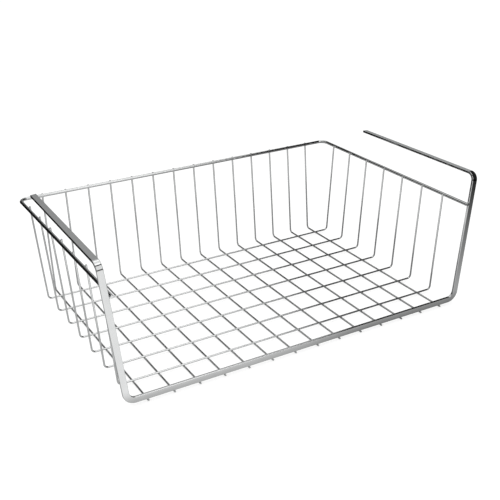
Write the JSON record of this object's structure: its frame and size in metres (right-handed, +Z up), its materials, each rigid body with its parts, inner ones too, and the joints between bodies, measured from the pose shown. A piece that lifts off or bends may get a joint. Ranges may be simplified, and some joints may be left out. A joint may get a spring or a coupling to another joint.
{
  "type": "under shelf basket",
  "caption": "Chromed wire basket with an open front that hangs from a shelf by two flat arms over the board.",
  "frame": {"origin": "centre of the basket's footprint, on the plane that its floor wires stand on", "axes": "+X to the right as seen from the open front, +Y to the rear, +Z up"},
  "size_m": [0.3998, 0.257, 0.14],
  "materials": {
    "frame_strip": "bright chrome plating on flat steel strip",
    "rim": "bright chrome plating on round steel wire",
    "grid_wire": "bright chrome plating on thin round steel wire"
  },
  "bodies": {
    "root": {"front_frame": "frame_strip", "rim_wire": "rim", "depth_wire_01": "grid_wire", "depth_wire_02": "grid_wire", "depth_wire_03": "grid_wire", "depth_wire_04": "grid_wire", "depth_wire_05": "grid_wire", "depth_wire_06": "grid_wire", "depth_wire_07": "grid_wire", "depth_wire_08": "grid_wire", "depth_wire_09": "grid_wire", "depth_wire_10": "grid_wire", "depth_wire_11": "grid_wire", "depth_wire_12": "grid_wire", "depth_wire_13": "grid_wire", "depth_wire_14": "grid_wire", "cross_wire_01": "grid_wire", "cross_wire_02": "grid_wire", "cross_wire_03": "grid_wire", "cross_wire_04": "grid_wire", "cross_wire_05": "grid_wire", "cross_wire_06": "grid_wire", "cross_wire_07": "grid_wire"}
  },
  "joints": []
}
